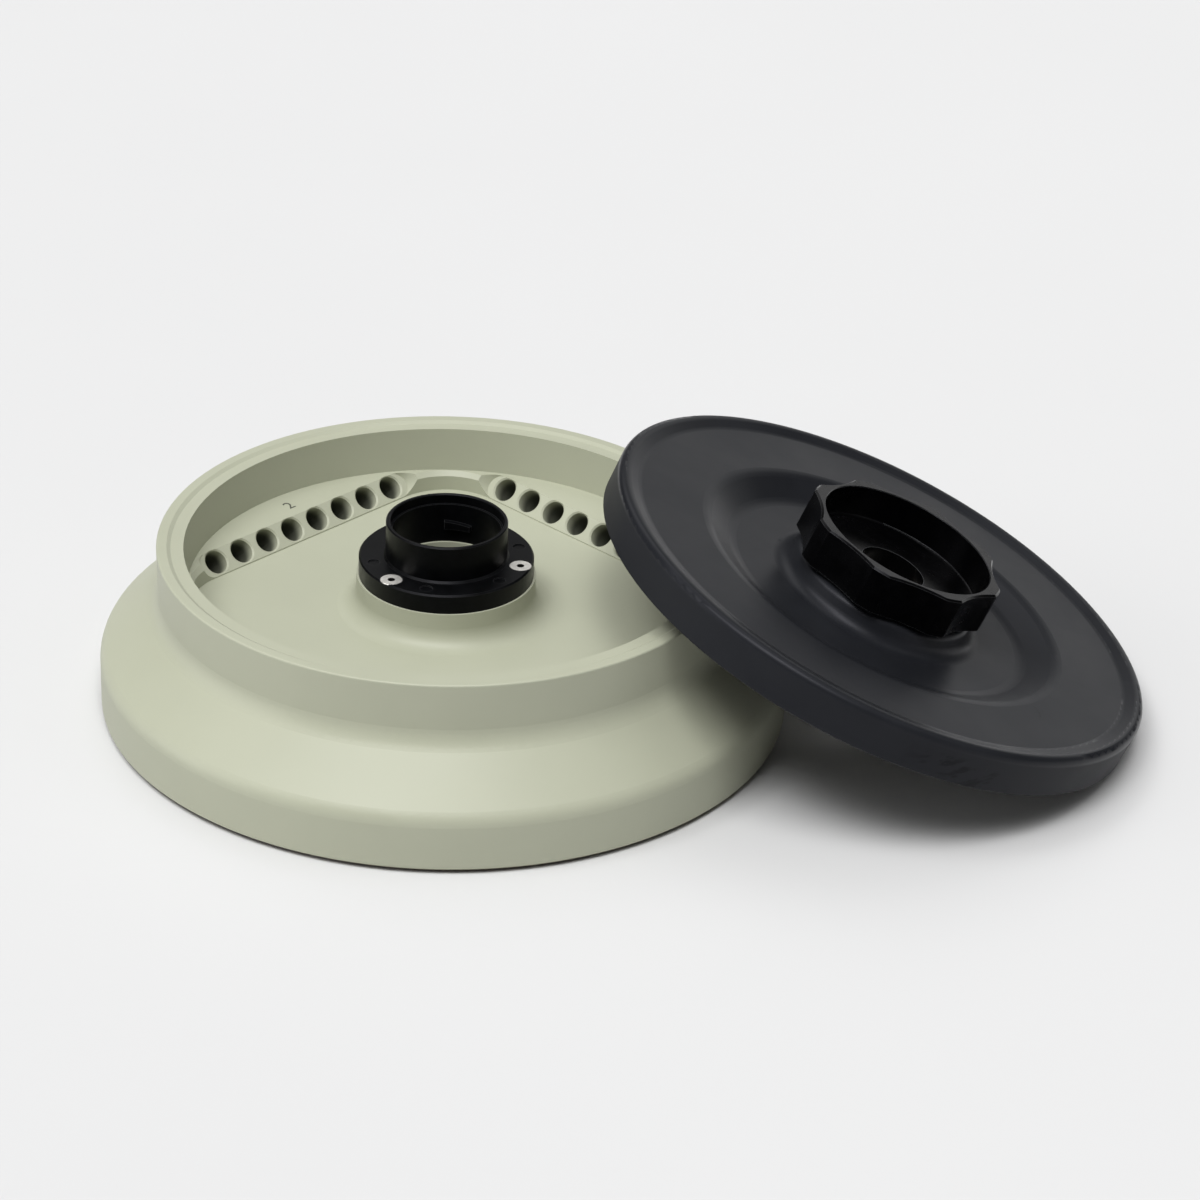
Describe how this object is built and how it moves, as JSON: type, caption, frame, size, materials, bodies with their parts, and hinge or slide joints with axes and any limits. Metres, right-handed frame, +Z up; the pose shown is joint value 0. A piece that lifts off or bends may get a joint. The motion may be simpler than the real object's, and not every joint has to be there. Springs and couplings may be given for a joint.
{
  "type": "fixed angle rotor",
  "caption": "Fixed angle centrifuge rotor for strips of small tubes: coated aluminium bowl with slanted hole rows, black bayonet collar, and a dark lid with a scalloped knob leaning on its rim.",
  "frame": {"origin": "lower end of the drive bore, in the plane the rotor stands on", "axes": "+Z up along the rotor's axis, +X towards the leaning lid, -Y towards the viewer"},
  "size_m": [0.2706, 0.1784, 0.0691],
  "materials": {
    "body_coat": "satin sage-green coating",
    "collar_black": "satin black",
    "lid_grey": "satin dark grey coating",
    "knob_black": "semi-gloss black",
    "steel": "turned",
    "rubber": "matt",
    "washer_white": "matt white"
  },
  "bodies": {
    "rotor": {"rotor_body": "body_coat", "drive_bush": "steel", "drive_pin": "steel", "hub_collar": "collar_black", "bush_screw_1": "steel", "bush_screw_2": "steel", "bush_screw_3": "steel", "collar_screw_1": "steel", "collar_screw_2": "steel", "collar_screw_3": "steel", "lid_plate": "lid_grey", "lid_seal": "rubber", "knob_seal": "rubber", "slip_washer": "washer_white"},
    "knob": {"knob": "knob_black", "bayonet_bush": "steel", "knob_screw_1": "steel", "knob_screw_2": "steel", "knob_screw_3": "steel"}
  },
  "joints": [
    {"name": "knob_turn", "type": "hinge", "parent": "rotor", "child": "knob", "pos_m": [0.11291, -0.00644, 0.03995], "axis": [0.3949, 0.0027, 0.9187], "continuous": true}
  ]
}
